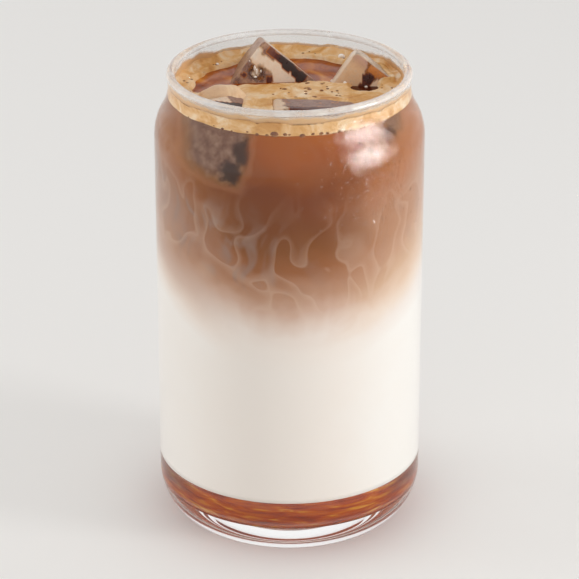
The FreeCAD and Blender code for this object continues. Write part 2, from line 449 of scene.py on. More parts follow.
def fill_ramp(ramp, scale, low=0.0, high=1.0):
    """Sets a ramp's colours from (height, hex) pairs between low and high."""
    elements = ramp.color_ramp.elements
    elements.remove(elements[-1])
    for index, (height, colour) in enumerate(scale):
        place = (height - low) / (high - low)
        if index == 0:
            elements[0].position = place
        else:
            elements.new(place)
        elements[index].color = linear(colour)


# %% [markdown]
# The mix is built in four steps. A place is first pushed about by soft noise, so that clouds curl. Its
# height above the bowl-shaped border is then measured, with the border's wobble added. Threads are the
# lines where a noise crosses its middle value, with a thin veil of milk on one side. Haze is noise
# stretched upright, as milk that hangs down from the ice, and there is more of it at the left.

# %% The mix as shader nodes
CLOUD_SIZE = 16.0
CLOUD_PUSH = (17.0, 17.0, 27.2)
BORDER_WOBBLE = 14.0
CURL_SIZE = 11.0
CURL_PUSH = (14.3, 14.3, 24.2)
THREAD_SIZE = 9.0
THREAD_STRETCH = (1.0, 1.0, 0.6)
THREAD_WIDTH = 0.034
THREAD_TINT = "#DCC0AA"
HAZE_SIZE = 4.5
HAZE_STRETCH = (1.0, 1.0, 0.14)
HAZE_TINT = "#94796C"
MIDDLE = (0.5, 0.5, 0.5)


def pushed(tree, here, size, push, **settings):
    """The place here, pushed about in mm by soft noise of a size."""
    soft = add_node(tree, "TexNoise", here, Scale=1 / size, **settings)
    even = add_node(tree, "VectorMath", soft.outputs["Color"], MIDDLE, operation="SUBTRACT")
    return add_node(tree, "VectorMath", even, push, here, operation="MULTIPLY_ADD")


def above_border(tree, axes, across):
    """Height in mm above the bowl-shaped border, as milk_level draws it."""
    bowl = add_node(tree, "Math", across, across, operation="MULTIPLY")
    rise = add_node(tree, "Math", bowl, MILK_SIDE_RISE / MM, MILK_TOP / MM, operation="MULTIPLY_ADD")
    lean = add_node(tree, "Math", across, -MILK_LEFT_LEAN / MM, rise, operation="MULTIPLY_ADD")
    border = add_node(tree, "Math", axes.outputs["Y"], MILK_BACK_RISE / BORE_RADIUS, lean,
                      operation="MULTIPLY_ADD")
    return add_node(tree, "Math", axes.outputs["Z"], border, operation="SUBTRACT")


def thread_share(tree, curled, above):
    """How much milk thread and veil there is at a place."""
    place = add_node(tree, "VectorMath", curled, THREAD_STRETCH, operation="MULTIPLY")
    thread = add_node(tree, "TexNoise", place, Scale=1 / THREAD_SIZE, Detail=0.0)
    even = add_node(tree, "Math", thread, 0.5, operation="SUBTRACT")
    away = add_node(tree, "Math", even, operation="ABSOLUTE")
    line = add_node(tree, "MapRange", away, From_Max=THREAD_WIDTH, To_Min=1.0, To_Max=0.0,
                    interpolation_type="SMOOTHERSTEP")
    veil = add_node(tree, "MapRange", even, From_Min=0.14, From_Max=0.0, To_Max=0.7, **SMOOTH)
    one_side = add_node(tree, "Math", even, 0.0, operation="GREATER_THAN")
    one_veil = add_node(tree, "Math", veil, one_side, operation="MULTIPLY")
    smoke = add_node(tree, "Math", line, one_veil, operation="MAXIMUM")
    low = add_node(tree, "MapRange", above, From_Min=-4.0, From_Max=8.0, **SMOOTH)
    high = add_node(tree, "MapRange", above, From_Min=14.0, From_Max=40.0, To_Min=0.24, To_Max=0.02,
                    **SMOOTH)
    window = add_node(tree, "Math", low, high, operation="MULTIPLY")
    return add_node(tree, "Math", window, smoke, operation="MULTIPLY")


def haze_share(tree, curled, across, above, height):
    """How much brown haze hangs at a place."""
    place = add_node(tree, "VectorMath", curled, HAZE_STRETCH, operation="MULTIPLY")
    streak = add_node(tree, "TexNoise", place, Scale=1 / HAZE_SIZE)
    haze = add_node(tree, "MapRange", streak, From_Min=0.46, From_Max=0.72, To_Max=0.75, **SMOOTH)
    left = add_node(tree, "MapRange", across, From_Min=0.15, From_Max=-0.45, To_Min=0.25, **SMOOTH)
    high = add_node(tree, "MapRange", above, From_Min=38.0, From_Max=20.0, **SMOOTH)
    low = add_node(tree, "MapRange", height, From_Min=4.0, From_Max=13.0, **SMOOTH)
    left_high = add_node(tree, "Math", left, high, operation="MULTIPLY")
    hazy = add_node(tree, "Math", left_high, haze, operation="MULTIPLY")
    return add_node(tree, "Math", hazy, low, operation="MULTIPLY")


def latte_colour(tree, here):
    """Colour of milk and coffee mixed, at the point here in millimetres."""
    bent = pushed(tree, here, CLOUD_SIZE, CLOUD_PUSH, Detail=3.0, Roughness=0.45)
    curled = pushed(tree, here, CURL_SIZE, CURL_PUSH, Detail=0.0)
    axes = add_node(tree, "SeparateXYZ", here)
    across = add_node(tree, "Math", axes.outputs["X"], BORE_RADIUS / MM, operation="DIVIDE")
    above = above_border(tree, axes, across)
    wave = add_node(tree, "TexNoise", bent, Scale=1 / CLOUD_SIZE, Detail=3.0)
    even = add_node(tree, "Math", wave, 0.5, operation="SUBTRACT")
    calm = add_node(tree, "MapRange", above, From_Min=-12.0, From_Max=14.0, To_Min=0.25 * BORDER_WOBBLE,
                    To_Max=BORDER_WOBBLE, **SMOOTH)
    height = add_node(tree, "Math", even, calm, above, operation="MULTIPLY_ADD")
    level = add_node(tree, "MapRange", height, From_Min=MIX_LOW, From_Max=MIX_HIGH)
    middle, right, left = [add_node(tree, "ValToRGB", level) for side in range(3)]
    for ramp, scale in ((middle, MIDDLE_SCALE), (right, RIGHT_SCALE), (left, LEFT_SCALE)):
        fill_ramp(ramp, scale, MIX_LOW, MIX_HIGH)
    # Towards each side the paler scale takes over: painted reflection in the glass's edges.
    side = add_node(tree, "Math", even, 0.5, across, operation="MULTIPLY_ADD")
    to_right = add_node(tree, "MapRange", side, From_Min=0.2, From_Max=0.95, **SMOOTH)
    to_left = add_node(tree, "MapRange", side, From_Min=-0.3, From_Max=-0.95, **SMOOTH)
    mix = add_node(tree, "Mix", to_right, middle, right, **RGBA)
    mix = add_node(tree, "Mix", to_left, mix, left, **RGBA)
    haze = haze_share(tree, curled, across, above, height)
    hazed = add_node(tree, "Mix", haze, mix, linear(HAZE_TINT), **RGBA)
    threads = thread_share(tree, curled, above)
    return add_node(tree, "Mix", threads, hazed, linear(THREAD_TINT), **RGBA)


# %% [markdown]
# Whole milk is a dense white emulsion. Wetted against the glass it has no gloss of its own.

# %% Whole milk
def whole_milk(tree, here):
    colour = latte_colour(tree, here)
    return add_node(tree, "BsdfPrincipled", Base_Color=colour, Roughness=0.8, IOR=1.05)


give(milk, make_material(whole_milk))

# %% [markdown]
# ## Ice under the surface
# Two melting cubes lie against the front wall below the surface, and the coffee lets them show as soft-
# edged, greyer patches with a pale outline. A patch is the space on the inner side of a few planes, the
# cube's own faces, joined with rounded corners, and round dark hollows show through it. It stays in place
# on the drink from every side.

# %% Sunk ice patches
PLANE_ROUNDING = 5.0
LEFT_CUBE_PLANES = (((-1, 0, 0), 29.4), ((0.97, 0, -0.25), -40.0), ((-0.25, 0, -0.968), -103.0),
                    ((0, 0, -1), -110.2), ((0, 1, 0), 6.0))
RIGHT_CUBE_PLANES = (((-1, 0, 0), -23.0), ((1, 0, 0), 30.8), ((0, 0, -1), -119.5), ((0, 1, 0), 4.0))
LEFT_CUBE_GAPS = (((-12.0, -33.4, 122.0), 4.4), ((-15.6, -32.0, 115.8), 3.4), ((-11.2, -33.8, 126.5), 2.6))
RIGHT_CUBE_GAPS = (((28.5, -21.0, 124.0), 2.6),)


def distance_to(tree, here, planes):
    """Distance outside the rounded space between planes, each a normal and an offset."""
    joined = None
    for normal, offset in planes:
        along = add_node(tree, "VectorMath", here, normal, operation="DOT_PRODUCT")
        away = add_node(tree, "Math", along, offset, operation="SUBTRACT")
        if joined is None:
            joined = away
        else:
            joined = add_node(tree, "Math", joined, away, PLANE_ROUNDING, operation="SMOOTH_MAX")
    return joined


def add_sunk_cube(tree, here, colour, planes, gaps):
    """Paints one sunk cube over colour; gaps are (place, radius) of the dark hollows in it."""
    ripple = add_node(tree, "TexNoise", here, Scale=1 / 5.0, Detail=3.0, Roughness=0.55)
    ripple_even = add_node(tree, "Math", ripple, 0.5, operation="SUBTRACT")
    distance = distance_to(tree, here, planes)
    away = add_node(tree, "Math", ripple_even, 4.0, distance, operation="MULTIPLY_ADD")
    mask = add_node(tree, "MapRange", away, From_Min=0.6, From_Max=-2.4, To_Max=0.92, **SMOOTH)
    mottle = add_node(tree, "TexNoise", here, Scale=1 / 2.6, Detail=4.0, Roughness=0.65)
    skin = add_node(tree, "ValToRGB", mottle)
    fill_ramp(skin, ((0.3, "#5A3A2A"), (0.46, "#745140"), (0.6, "#866652"), (0.76, "#9A7A68")))
    tear = add_node(tree, "Math", mottle, 0.5, operation="SUBTRACT")
    low_band = add_node(tree, "MapRange", away, From_Min=-4.5, From_Max=-1.0, To_Max=0.75, **SMOOTH)
    inside = add_node(tree, "Mix", low_band, skin, linear("#8E5C28"), **RGBA)
    for place, radius in gaps:
        to_gap = add_node(tree, "VectorMath", here, place, operation="DISTANCE")
        torn = add_node(tree, "Math", tear, 5.0, to_gap, operation="MULTIPLY_ADD")
        deep = add_node(tree, "MapRange", torn, From_Min=radius + 0.9, From_Max=radius - 1.7, To_Max=0.9,
                        **SMOOTH)
        inside = add_node(tree, "Mix", deep, inside, linear("#1E0D06"), **RGBA)
    painted = add_node(tree, "Mix", mask, colour, inside, **RGBA)
    ring_away = add_node(tree, "Math", away, operation="ABSOLUTE")
    ring = add_node(tree, "MapRange", ring_away, From_Min=1.4, From_Max=0.1, To_Max=0.2, **SMOOTH)
    return add_node(tree, "Mix", ring, painted, linear("#B9805A"), **RGBA)


# %% [markdown]
# ## Coffee
# Against the wall the coffee is wetted glass without gloss. Its free surface is a liquid mirror with an
# IOR of 1.33, darker in the middle and orange where it is thin. The two finishes go on different faces.

# %% Coffee materials
SMALL_POOL = (20.8, 2.6)


def iced_coffee(tree, here):
    colour = latte_colour(tree, here)
    colour = add_sunk_cube(tree, here, colour, LEFT_CUBE_PLANES, LEFT_CUBE_GAPS)
    colour = add_sunk_cube(tree, here, colour, RIGHT_CUBE_PLANES, RIGHT_CUBE_GAPS)
    return add_node(tree, "BsdfPrincipled", Base_Color=colour, Roughness=0.8, IOR=1.05)


def coffee_surface(tree, here):
    drift = add_node(tree, "TexNoise", here, Scale=1 / 9.0, Detail=3.0, Distortion=1.2)
    ramp = add_node(tree, "ValToRGB", drift)
    fill_ramp(ramp, ((0.3, "#7C3000"), (0.48, "#9C4806"), (0.6, "#BA6418"), (0.75, "#D68C3C")))
    to_pool = add_node(tree, "VectorMath", here, (*SMALL_POOL, DRINK_TOP / MM),
                       operation="DISTANCE")
    shaded = add_node(tree, "MapRange", to_pool, From_Min=6.0, From_Max=3.5, To_Max=0.85, **SMOOTH)
    mixed = add_node(tree, "Mix", shaded, ramp, linear("#421606"), **RGBA)
    return add_node(tree, "BsdfPrincipled", Base_Color=mixed, Roughness=0.04, IOR=1.33,
                    Specular_IOR_Level=0.35)


give(coffee, make_material(iced_coffee))
coffee.data.materials.append(make_material(coffee_surface))

# %% [markdown]
# ## Syrup
# Caramel syrup is thick and cloudy with dissolved solids, so it scatters light as well as passing it. It is
# poured in turns, and gold streaks lie flat in the red-brown body where two turns meet. At the sides, near
# its top, it is painted darker and greyer: a painted reflection in the edges of the glass.

# %% Syrup material
def caramel_syrup(tree, here):
    flat = add_node(tree, "VectorMath", here, (0.12, 0.12, 0.75), operation="MULTIPLY")
    streak = add_node(tree, "TexNoise", flat, Scale=1.0, Detail=3.0, Distortion=0.6)
    ramp = add_node(tree, "ValToRGB", streak)
    fill_ramp(ramp, ((0.3, "#8C2C00"), (0.45, "#B84600"), (0.58, "#CE6200"), (0.72, "#F0AC34")))
    axes = add_node(tree, "SeparateXYZ", here)
    side = add_node(tree, "Math", axes.outputs["X"], operation="ABSOLUTE")
    # Painted reflection: darker, greyer syrup at the sides near its top.
    painted_side_reflection = add_node(tree, "MapRange", side, From_Min=22.0, From_Max=33.0, To_Max=0.7, **SMOOTH)
    high = add_node(tree, "MapRange", axes.outputs["Z"], From_Min=11.0, From_Max=14.5, **SMOOTH)
    painted_side_reflection_high = add_node(tree, "Math", painted_side_reflection, high, operation="MULTIPLY")
    colour = add_node(tree, "Mix", painted_side_reflection_high, ramp, linear("#6A3C2C"), **RGBA)
    return add_node(tree, "BsdfPrincipled", Base_Color=colour, Roughness=0.05, IOR=1.45,
                    Transmission_Weight=0.3)


give(syrup, make_material(caramel_syrup))

# %% [markdown]
# ## Melting ice
# Each cube came out of a tray and has melted: its corners are round, its faces are wavy and no longer
# flat. A cube is divided finely, its points are pulled onto a rounded box, and soft noise then eats into
# it. Noise only takes material away, so the cube stays inside the size that the frame gives. The middle of
# the node's box is the middle of the cube.

# %% Shaping helpers
def copy_of(piece):
    """A copy with a mesh of its own."""
    twin = piece.copy()
    twin.data = piece.data.copy()
    bpy.context.collection.objects.link(twin)
    return twin


def select_only(piece):
    """Selects one piece and makes it the active one."""
    start_fresh()
    piece.select_set(True)
    bpy.context.view_layer.objects.active = piece


def band(low, high, soft, value):
    """1 between low and high, fading over soft at both ends."""
    return smooth_step(low - soft, low, value) * (1 - smooth_step(high, high + soft, value))


def spot(centre, radius, soft, *place):
    """1 within radius of centre, fading over soft."""
    return 1 - smooth_step(radius, radius + soft, math.dist(centre, place))


# %% The four cubes
ICE = {
    "ice_back_left": {"size": (21.0, 19.0, 21.0), "turn": (5, -15, 40), "melt": 1.2},
    "ice_right": {"size": (14.0, 12.5, 19.0), "turn": (-2, -14, 36), "melt": 2.2},
    "ice_front_left": {"size": (18.5, 16.0, 15.5), "turn": (-34, -12, 20), "melt": 2.4},
    "ice_front": {"size": (24.0, 12.0, 14.0), "turn": (3, -4, 2), "melt": 1.8},
}
ICE_CUTS = 30
MELT_DEPTH = 0.45
HOLLOW_PLACE = (-6.6, 2.1)
HOLLOW_RADIUS = 2.6
HOLLOW_DEPTH = 0.9


def ice_turn(name):
    """How a cube is turned, as a matrix."""
    yaw, pitch, roll = (math.radians(angle) for angle in ICE[name]["turn"])
    return Matrix.Rotation(yaw, 3, "Z") @ Matrix.Rotation(pitch, 3, "X") @ Matrix.Rotation(roll, 3, "Y")


def ice_centre(name):
    """The middle of the box that the frame gives."""
    low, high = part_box(name)
    return (Vector(low) + Vector(high)) / 2


ICE_CENTRE = {name: ice_centre(name) for name in ICE}
ICE_TURN = {name: ice_turn(name) for name in ICE}


def melted(name, place):
    """Moves a point of the cube, in mm about its middle, onto the melted shape."""
    half = Vector(ICE[name]["size"]) / 2
    melt = ICE[name]["melt"]
    core = Vector([min(size - melt, max(melt - size, at)) for at, size in zip(place, half)])
    outward = (place - core).normalized()
    seed = Vector((ord(name[4]), ord(name[-1]), len(name)))
    eaten = 0.5 + 0.5 * noise.noise(place / 7.0 + seed)
    eaten += 0.22 * (1 + noise.noise(place / 2.6 + seed))
    shape = core + outward * (melt - MELT_DEPTH * eaten * 0.75)
    if name == "ice_back_left" and place.y < 0:
        away = math.dist(HOLLOW_PLACE, (place.x, place.z))
        shape.y += HOLLOW_DEPTH * (1 - smooth_step(0.2 * HOLLOW_RADIUS, HOLLOW_RADIUS, away))
    return shape


def ice_block(name):
    """One cube, divided finely and melted, in its place."""
    start_fresh()
    bpy.ops.mesh.primitive_cube_add(size=2)
    piece = bpy.context.object
    piece.name = name + "_melted"
    bpy.ops.object.mode_set(mode="EDIT")
    bpy.ops.mesh.select_all(action="SELECT")
    bpy.ops.mesh.subdivide(number_cuts=ICE_CUTS)
    bpy.ops.object.mode_set(mode="OBJECT")
    half = Vector(ICE[name]["size"]) / 2
    turn, centre = ICE_TURN[name], ICE_CENTRE[name]
    for vertex in piece.data.vertices:
        on_box = Vector([at * size for at, size in zip(vertex.co, half)])
        vertex.co = centre + turn @ (melted(name, on_box) * MM)
    bpy.ops.object.shade_smooth()
    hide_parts(name)
    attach(piece, "root")
    return piece


cubes = {name: ice_block(name) for name in ICE}
print("ice faces", {name: len(piece.data.polygons) for name, piece in cubes.items()})

# %% [markdown]
# Ice is clear water ice with an IOR of 1.31, wet on the outside. Fine cloudiness from trapped air shows as
# faint white haze, so its skin is very slightly rough in places.

# %% Ice material
def clear_ice(tree, here):
    haze = add_node(tree, "TexNoise", here, Scale=1 / 3.5, Detail=3.0, Roughness=0.6)
    wet = add_node(tree, "MapRange", haze, From_Min=0.45, From_Max=0.75, To_Min=0.02, To_Max=0.16)
    ripple = add_node(tree, "TexNoise", here, Scale=1 / 3.2, Detail=1.0)
    bump = add_node(tree, "Bump", Strength=0.3, Distance=0.12 * MM, Height=ripple)
    shader = add_node(tree, "BsdfPrincipled", Base_Color=linear("#F3EEEC"), Roughness=wet, IOR=1.31,
                      Transmission_Weight=1.0, Normal=bump)
    return lamps_pass(tree, shader)


ice_finish = make_material(clear_ice)
for piece in cubes.values():
    give(piece, ice_finish)

# %% [markdown]
# ## Foam and haze on the ice
# Foam dried and dripped onto the faces that stand out of the drink, and elsewhere the ice is frosted. Where
# it is bare, the coat paints what clear ice shows: dark coffee seen through it, greyed by a painted
# reflection of the pale room, and on the right cube a painted amber glow of light through the ice. Each
# cube gets a thin skin, a shell a tenth of a millimetre thick over the part that is coated. Two values on
# every point say how dense the coat is and which tint it has: 0 is pale foam, 1 is dark. One function per
# cube says so. Its numbers are places on the cube in millimetres from its middle, then pairs of density and
# tint.

# %% Where each cube is coated
def coat_back_left(x, y, z, ripple):
    """Cream across the front face; a dark streak under its top edge and dark spots by a clear hollow,
    painted as dark coffee seen through clear ice; a frosted side.
    """
    if y < -8.6:
        dense = band(5.0, 7.4, 1.2, z + 1.6 * ripple)
        right = smooth_step(-3.6, -1.0, x + 1.5 * ripple) * band(1.5, 7.9, 0.9, z + ripple)
        cream = max(dense, right)
        thick = 1.1 + 0.16 * (x + 8.0)
        streak = band(10.0 - min(2.6, thick), 9.9, 0.5, z + 0.9 * ripple) * band(-7.6, 4.6, 1.5, x)
        # Painted: dark ends of the hollow, where the clear ice shows dark coffee.
        hollow_dark_spots = spot((-2.3, 2.6), 0.8, 0.6, x, z) + spot((-8.9, -0.9), 0.5, 0.5, x, z)
        clear = spot(HOLLOW_PLACE, 1.9, 0.9, x, z)
        if streak > 0.45:
            return 0.9, 0.78 + 0.22 * smooth_step(-7.0, -3.0, x)
        if hollow_dark_spots > 0.4:
            return 0.9, 0.86
        if cream > 0.3:
            return 0.95 * cream, 0.04 + 0.3 * (1 - cream) + 0.1 * abs(ripple)
        return 0.62 * (1 - 0.45 * clear), 0.44 + 0.1 * clear + 0.25 * ripple
    if x < -9.6:
        return 0.58, 0.36 - 0.12 * ripple
    return 0.6 + 0.12 * ripple, 0.08


def coat_right(x, y, z, ripple):
    """Tan froth on the left half; on the right a painted amber glow of light through the ice and dark
    coffee seen through clear ice; a foam patch low down.
    """
    if x < -6.2:
        return 0.9, 0.1
    if y < -5.2:
        edge = -2.0 + 0.25 * (8.9 - z) + 1.2 * ripple
        froth = 1 - smooth_step(edge - 0.3, edge + 0.4, x)
        patch = spot((4.6, 4.4), 2.1, 0.6, x, z + ripple)
        dark = spot((0.8, 5.0), 1.2, 0.6, x + ripple, z)
        gap = spot((0.6, 2.8), 1.8, 0.5, x, z)
        # Painted light: an amber glow along the top, light seen through the ice.
        painted_amber_glow = band(6.9, 9.8, 0.4, z + 0.5 * ripple) * band(-0.6, 6.4, 0.8, x)
        if froth > 0.4:
            return 0.92, 0.24 + 0.2 * smooth_step(5.0, 9.0, z)
        if patch > 0.3:
            return 0.95 * patch, 0.14
        if dark + gap > 0.3:
            return 0.8, 0.95 if dark > gap else 0.86
        if painted_amber_glow > 0.3:
            return 0.9, 0.62
        return 0.55, 0.66
    if z > 8.5:
        return 0.6 + 0.12 * ripple, 0.1
    return 0.56 + 0.12 * ripple, 0.12


def coat_front_left(x, y, z, ripple):
    """Foam over most of the top, with a bare facet painted grey, a painted reflection of the pale room over
    dark coffee, and a dark edge left bare.
    """
    facet = spot((-5.5, 2.3), 2.2, 0.8, x + ripple, y)
    streak = band(-0.9, 0.9, 0.5, x + 4.6 - 0.32 * (y + 4.2)) * band(-6.0, 7.5, 1.0, y)
    if z > 6.5 and streak > 0.4:
        return 0.85, 1.0
    if z > 6.5 and facet > 0.3:
        return 0.7, 0.48
    return 0.85 * smooth_step(5.5, 7.0, z + ripple), 0.16


def coat_front(x, y, z, ripple):
    """A plate of wet clear ice, painted grey as dark coffee seen through it under a painted reflection of
    the pale room, with foam curled over its left end and a dark lower edge.
    """
    if z < 5.8:
        return 0.0, 0.0
    curl = 1 - smooth_step(-9.4, -7.8, x + 1.8 * ripple)
    if curl > 0.4:
        return 0.9 * curl, 0.16
    low = 1 - smooth_step(-3.4, -1.6, y + ripple)
    return 0.78, 0.84 if low + 0.5 * ripple > 0.5 else 0.52 + 0.1 * ripple


COAT = {"ice_back_left": coat_back_left, "ice_right": coat_right,
        "ice_front_left": coat_front_left, "ice_front": coat_front}

# %% [markdown]
# A coat starts as a copy of its cube, moved out by a hair. What lies deep in the drink is deleted, the two
# values are written to its points, and Solidify gives the rest its thickness.

# %% The coats
COAT_GAP = 0.05 * MM
COAT_THICKNESS = 0.1 * MM
COAT_DEPTH = 2.5 * MM


def ice_coat(name):
    """A thin shell over the part of a cube that stands out of the drink."""
    coat = copy_of(cubes[name])
    coat.name = name + "_coat"
    for vertex in coat.data.vertices:
        vertex.co += vertex.normal * COAT_GAP
    select_only(coat)
    bpy.ops.object.mode_set(mode="EDIT")
    bpy.ops.mesh.select_mode(type="FACE")
    bpy.ops.mesh.select_all(action="DESELECT")
    bpy.ops.object.mode_set(mode="OBJECT")
    for polygon in coat.data.polygons:
        polygon.select = polygon.center.z < DRINK_TOP - COAT_DEPTH
    bpy.ops.object.mode_set(mode="EDIT")
    bpy.ops.mesh.delete(type="FACE")
    bpy.ops.object.mode_set(mode="OBJECT")
    dense = coat.data.attributes.new("coat", "FLOAT", "POINT")
    tint = coat.data.attributes.new("tint", "FLOAT", "POINT")
    for index, vertex in enumerate(coat.data.vertices):
        local = ICE_TURN[name].transposed() @ ((vertex.co - ICE_CENTRE[name]) / MM)
        ripple = noise.noise(local / 2.4) + 0.45 * noise.noise(local / 1.0)
        dense.data[index].value, tint.data[index].value = COAT[name](*local, ripple)
    skin = coat.modifiers.new("skin", "SOLIDIFY")
    skin.thickness = COAT_THICKNESS
    skin.offset = 1.0
    bpy.ops.object.modifier_apply(modifier=skin.name)
    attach(coat, "root")
    return coat


coats = {name: ice_coat(name) for name in ICE}

# %% [markdown]
# The coat is matt foam or wet haze, and its darker tints are painted: dark coffee seen through clear ice, a
# painted reflection of the pale room on it and a painted amber glow. Its edge is broken by fine noise at
# 0.8 mm, as foam lace breaks.

# %% Coat material
def foam_lace_and_painted_clear_ice(tree, here):
    dense = add_node(tree, "Attribute", attribute_name="coat")
    tint = add_node(tree, "Attribute", attribute_name="tint")
    lace = add_node(tree, "TexNoise", here, Scale=1 / 0.8, Detail=3.0, Roughness=0.6)
    lace_even = add_node(tree, "Math", lace, 0.5, operation="SUBTRACT")
    ragged = add_node(tree, "MapRange", dense.outputs["Fac"], From_Min=0.45, From_Max=0.75, To_Min=0.25,
                      To_Max=0.9)
    torn = add_node(tree, "Math", lace_even, ragged, dense.outputs["Fac"], operation="MULTIPLY_ADD")
    alpha = add_node(tree, "MapRange", torn, From_Min=0.15, From_Max=0.95, To_Max=0.97, **SMOOTH)
    shade = add_node(tree, "Math", lace_even, 0.22, tint.outputs["Fac"], operation="MULTIPLY_ADD")
    ramp = add_node(tree, "ValToRGB", shade)
    # Pale foam at 0 to dark at 1. The greys, the amber at 0.62 and the darks paint clear ice: reflection,
    # glow and coffee seen through it.
    fill_ramp(ramp, ((0.0, "#F0DFCC"), (0.25, "#DDB48C"), (0.42, "#BC9078"), (0.54, "#8E6A5E"),
                     (0.62, "#C87A34"), (0.7, "#8A4A28"), (0.8, "#6E3F30"), (0.88, "#541C0C"),
                     (1.0, "#35231C")))
    return add_node(tree, "BsdfPrincipled", Base_Color=ramp, Roughness=0.3, IOR=1.33, Alpha=alpha)


lace_finish = make_material(foam_lace_and_painted_clear_ice)
for coat in coats.values():
    give(coat, lace_finish)

# %% [markdown]
# ## Crema
# The golden foam is a raft 1 to 2 mm thick: a ring along the wall, a wide patch in front, and open pools
# where the dark coffee shows. It climbs the wall a little and collects round the ice. The raft is turned
# on the lathe as a fine disc, and then each point of its top takes the height that the foam has there. In
# a pool the foam lies under the coffee's surface, so the coffee covers it.

# %% Where the foam lies, sizes in mm
FOAM_PROUD = 1.4
FOAM_SUNK = -0.5
FOAM_CLIMB_WIDTH = 2.2
LIP_OVER_ICE = 2.5
LIP_IN_FRONT = 1.5
LIP_FADE = (-9.0, -5.0)
POOL_FRONT = 2.2
POOL_SLOPE = 0.14
BANK_RISE = 3.4
SMALL_POOL_RADIUS = 3.6
RING_WIDTH = 5.2
FOAM_INTO_WALL = INTO_WALL + 0.1 * MM


def foam_edge(x, y):
    """Distance in mm inside the foam's outline; negative in the open pools."""
    radius = math.hypot(x, y)
    wander = noise.noise(Vector((x / 7.0, y / 7.0, 2.0)))
    fine = noise.noise(Vector((x / 2.3, y / 2.3, 5.0)))
    ring = radius - (NECK_BORE / MM - RING_WIDTH) + 1.6 * wander
    bank = BANK_RISE * band(-13.0, 8.0, 5.0, x)
    front = (POOL_FRONT + POOL_SLOPE * x + bank - y) + 1.4 * wander
    small = math.dist(SMALL_POOL, (x, y)) - SMALL_POOL_RADIUS
    return min(max(ring, front), small) + 0.45 * fine


def near_ice(x, y, z):
    """Distance in mm from the nearest cube."""
    nearest = BODY_RADIUS / MM
    for name, values in ICE.items():
        local = ICE_TURN[name].transposed() @ (Vector((x, y, z)) - ICE_CENTRE[name] / MM)
        outside = [abs(at) - size / 2 for at, size in zip(local, values["size"])]
        apart = Vector([max(0.0, side) for side in outside]).length
        nearest = min(nearest, apart + min(0.0, max(outside)))
    return nearest


def foam_height(x, y):
    """Height in mm of the foam above the coffee's surface."""
    cover = smooth_step(-0.35, 1.5, foam_edge(x, y))
    lumps = 0.14 * noise.noise(Vector((x / 3.0, y / 3.0, 0.0))) + 0.07 * noise.noise(Vector((x, y, 7.0)))
    height = FOAM_SUNK + (FOAM_PROUD - FOAM_SUNK) * cover * (0.86 + lumps)
    to_ice = near_ice(x, y, (DRINK_TOP + FOAM_PROUD * MM) / MM)
    behind = smooth_step(*LIP_FADE, y)
    uneven_lip = 0.5 + 0.5 * noise.noise(Vector((x / 2.6, y / 2.6, 4.0)))
    lip = (0.5 + 1.3 * uneven_lip) * (0.3 + 0.7 * behind)
    if to_ice < -lip:
        return FOAM_SUNK
    if to_ice < 0:
        return max(height, (LIP_IN_FRONT + (LIP_OVER_ICE - LIP_IN_FRONT) * behind) * cover)
    collar = math.exp(-max(0.0, to_ice) / 0.8)
    height += collar * (0.15 + 0.35 * cover)
    to_wall = NECK_BORE / MM - math.hypot(x, y)
    climb = max(0.0, 1 - to_wall / FOAM_CLIMB_WIDTH) ** 2
    uneven = 0.75 + 0.5 * noise.noise(Vector((x / 5.0, y / 5.0, 9.0)))
    limit = (CREMA_EDGE - DRINK_TOP) / MM
    return min(limit, height + climb * uneven * (limit - FOAM_PROUD))


# %% [markdown]
# The disc has 86 rings of 432 points, because the foam's edges are only a few tenths of a millimetre wide.
# The underside sags a little by the glass, so its line isn't ruler straight.

# %% The raft
FOAM_RINGS = 86
FOAM_STEPS = 432
FOAM_SAG = 0.25 * MM


def foam_outline():
    """The raft's closed outline: flat underside, wall, flat top."""
    low_edge = bore_radius(CREMA_BOTTOM) + FOAM_INTO_WALL
    floor = [(low_edge * k / 10, CREMA_BOTTOM) for k in range(11)]
    wall = []
    for k in range(1, 8):
        level = CREMA_BOTTOM + (CREMA_EDGE - CREMA_BOTTOM) * k / 8
        wall.append((bore_radius(level) + FOAM_INTO_WALL, level))
    edge = NECK_BORE + FOAM_INTO_WALL
    top = [(edge * (1 - k / FOAM_RINGS), CREMA_EDGE) for k in range(FOAM_RINGS + 1)]
    return floor + wall + top


crema = lathe("crema_foam", foam_outline(), FOAM_STEPS)
for vertex in crema.data.vertices:
    if vertex.co.z > CREMA_EDGE - OVERLAP:
        vertex.co.z = DRINK_TOP + foam_height(vertex.co.x / MM, vertex.co.y / MM) * MM
    elif vertex.co.z < CREMA_BOTTOM + OVERLAP and math.hypot(vertex.co.x, vertex.co.y) > NECK_BORE:
        sag = noise.noise(Vector((vertex.co.x, vertex.co.y, 0.0)) / (5 * MM))
        vertex.co.z += FOAM_SAG * (1 + sag)
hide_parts("crema")
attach(crema, "root")

# %% [markdown]
# The ice has pushed both liquids aside. Slightly smaller copies of the cubes are cut out of coffee and
# foam, so that each cube sits in a hollow that fits it with no film of air.

# %% Cut the hollows for the ice
CUT_SCALE = 0.975


def cut_hollows(piece):
    """Cuts slightly smaller copies of all the cubes out of a piece."""
    start_fresh()
    for name, cube in cubes.items():
        cutter = copy_of(cube)
        to_cube = Matrix.Translation(ICE_CENTRE[name])
        cutter.data.transform(to_cube @ Matrix.Scale(CUT_SCALE, 4) @ to_cube.inverted())
        cutter.select_set(True)
        bpy.context.view_layer.objects.active = cutter
    bpy.ops.object.join()
    cutter = bpy.context.object
    select_only(piece)
    cut = piece.modifiers.new("hollows", "BOOLEAN")
    cut.operation = "DIFFERENCE"
    cut.object = cutter
    bpy.ops.object.modifier_apply(modifier=cut.name)
    bpy.data.objects.remove(cutter)
    print(piece.name, "after the cut:", len(piece.data.polygons), "faces")


